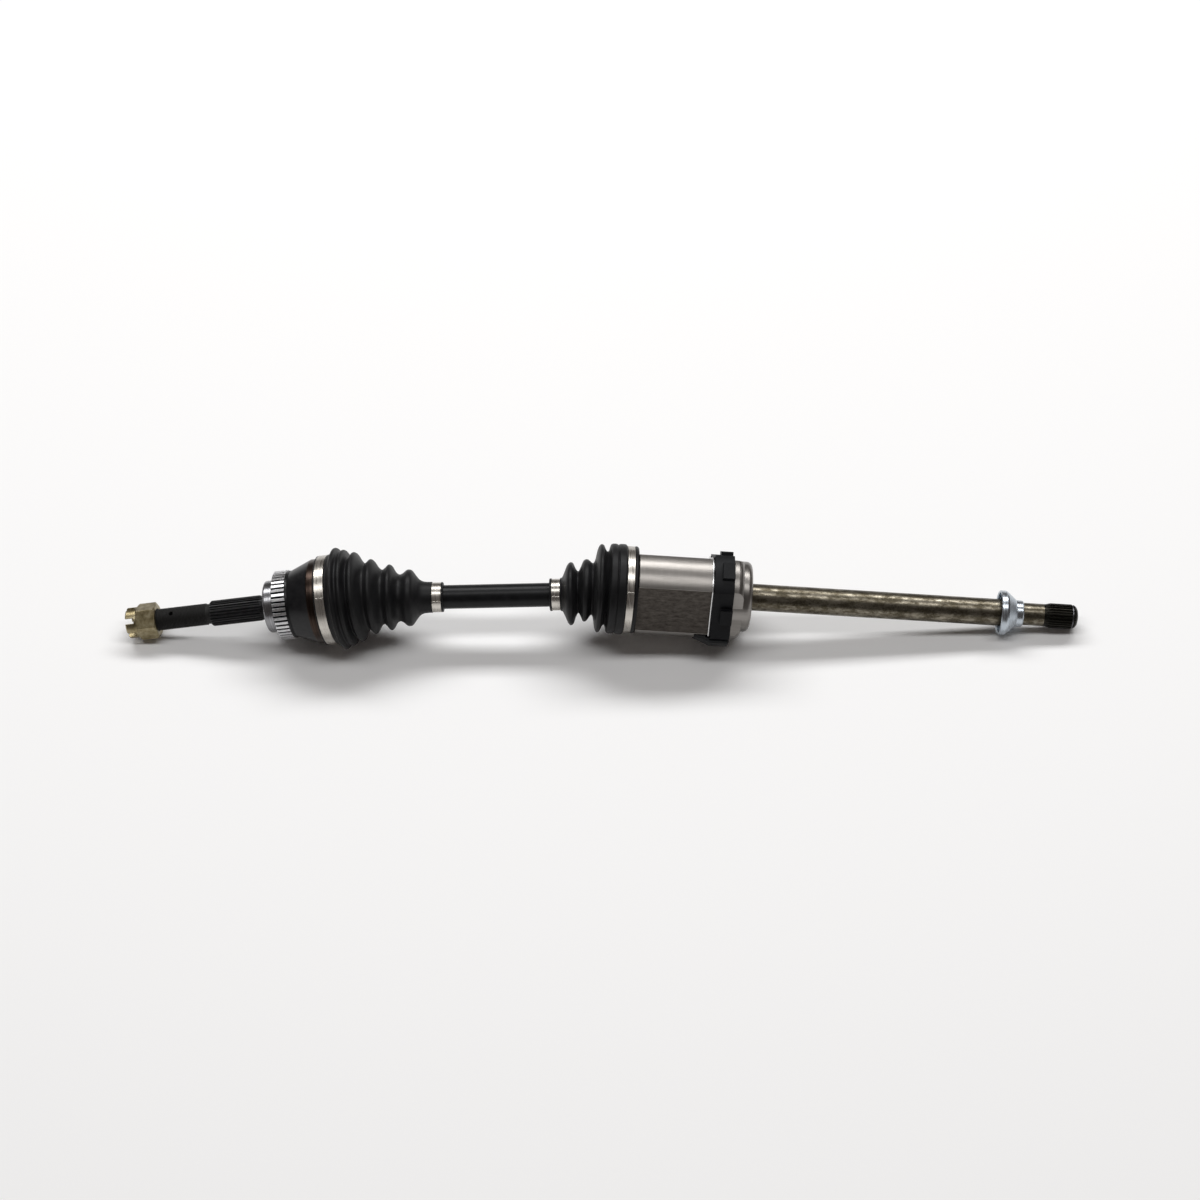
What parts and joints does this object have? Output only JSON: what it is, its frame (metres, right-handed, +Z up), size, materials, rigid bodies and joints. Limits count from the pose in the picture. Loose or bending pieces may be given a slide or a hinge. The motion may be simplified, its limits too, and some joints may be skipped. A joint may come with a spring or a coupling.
{
  "type": "cv axle",
  "caption": "Front drive axle with a ball joint and stub at the wheel end, a plunging tripod joint, two bellows boots and a long intermediate shaft.",
  "frame": {"origin": "middle of the seal land on the stub's axis", "axes": "+X along the axle towards the gearbox end, +Z up, with the axle lying on a level surface"},
  "size_m": [0.9618, 0.1033, 0.1086],
  "materials": {
    "black_steel": "satin black phosphate and paint",
    "zinc_yellow": "yellow zinc plate",
    "bright_zinc": "bright zinc plate",
    "clamp_steel": "bright stainless strip",
    "boot_rubber": "matte black boot elastomer",
    "ground_steel": "ground and hardened",
    "forged_steel": "turned and forged, bare",
    "aged_steel": "bare steel with a brown patina",
    "collar_plastic": "moulded black",
    "blue_zinc": "bluish zinc plate",
    "spring_steel": "dark spring steel"
  },
  "bodies": {
    "gearbox_side": {"inboard_housing": "forged_steel", "intermediate_shaft": "aged_steel", "dust_collar": "collar_plastic", "dust_collar_band": "bright_zinc", "shaft_dust_ring": "blue_zinc", "spline_circlip": "spring_steel", "inboard_boot_adaptor": "collar_plastic", "inboard_boot_clamp_large": "clamp_steel"},
    "plunge_carrier": {"inboard_boot": "boot_rubber"},
    "bar": {"bar_shaft": "black_steel", "inner_race": "ground_steel", "inner_race_circlip": "spring_steel", "tripod_spider": "ground_steel", "tripod_circlip": "spring_steel", "needle_rollers": "ground_steel", "needle_retainers": "spring_steel", "inboard_boot_clamp_small": "clamp_steel", "outboard_boot_clamp_small": "clamp_steel"},
    "roller_1": {"tripod_roller_1": "ground_steel"},
    "roller_2": {"tripod_roller_2": "ground_steel"},
    "roller_3": {"tripod_roller_3": "ground_steel"},
    "cage": {"outboard_cage": "ground_steel", "outboard_balls": "ground_steel"},
    "wheel_side": {"outer_race": "black_steel", "abs_tone_ring": "bright_zinc", "outboard_boot_clamp_large": "clamp_steel", "outboard_boot": "boot_rubber"},
    "nut": {"hub_nut": "zinc_yellow"}
  },
  "joints": [
    {"name": "inboard_plunge", "type": "slide", "parent": "gearbox_side", "child": "plunge_carrier", "axis": [0.9945, 0, -0.1045], "range_m": [-0.02, 0.005], "deforming": ["inboard_boot"]},
    {"name": "inboard_bend", "type": "hinge", "parent": "plunge_carrier", "child": "bar", "pos_m": [0.39866, 0, 0.01663], "axis": [0, 1, 0], "range_deg": [-8.8, 23.2], "deforming": ["inboard_boot"]},
    {"name": "outboard_bend", "type": "hinge", "parent": "bar", "child": "wheel_side", "pos_m": [0.05873, 0, 0.00951], "axis": [0, 1, 0], "range_deg": [-32, 48], "deforming": ["outboard_boot"]},
    {"name": "cage_bend", "type": "hinge", "parent": "bar", "child": "cage", "pos_m": [0.05873, 0, 0.00951], "axis": [0, 1, 0], "range_deg": [-16.5, 24.5]},
    {"name": "roller_1_roll", "type": "hinge", "parent": "bar", "child": "roller_1", "pos_m": [0.39866, 0, 0.01663], "axis": [-0.0204, -0.225, 0.9742], "range_deg": [-90, 90]},
    {"name": "roller_2_roll", "type": "hinge", "parent": "bar", "child": "roller_2", "pos_m": [0.39866, 0, 0.01663], "axis": [0.0061, 0.9563, -0.2923], "range_deg": [-90, 90]},
    {"name": "roller_3_roll", "type": "hinge", "parent": "bar", "child": "roller_3", "pos_m": [0.39866, 0, 0.01663], "axis": [0.0143, -0.7314, -0.6818], "range_deg": [-90, 90]},
    {"name": "hub_nut_run", "type": "slide", "parent": "wheel_side", "child": "nut", "axis": [0.9871, 0, 0.1599], "range_m": [-0.022, 0.044]}
  ],
  "couplings": [
    {"joint": "cage_bend", "follows": "outboard_bend", "ratio": 0.5},
    {"joint": "roller_1_roll", "follows": "inboard_plunge", "rad_per_m": 74.07},
    {"joint": "roller_2_roll", "follows": "inboard_plunge", "rad_per_m": 74.07},
    {"joint": "roller_3_roll", "follows": "inboard_plunge", "rad_per_m": 74.07}
  ]
}
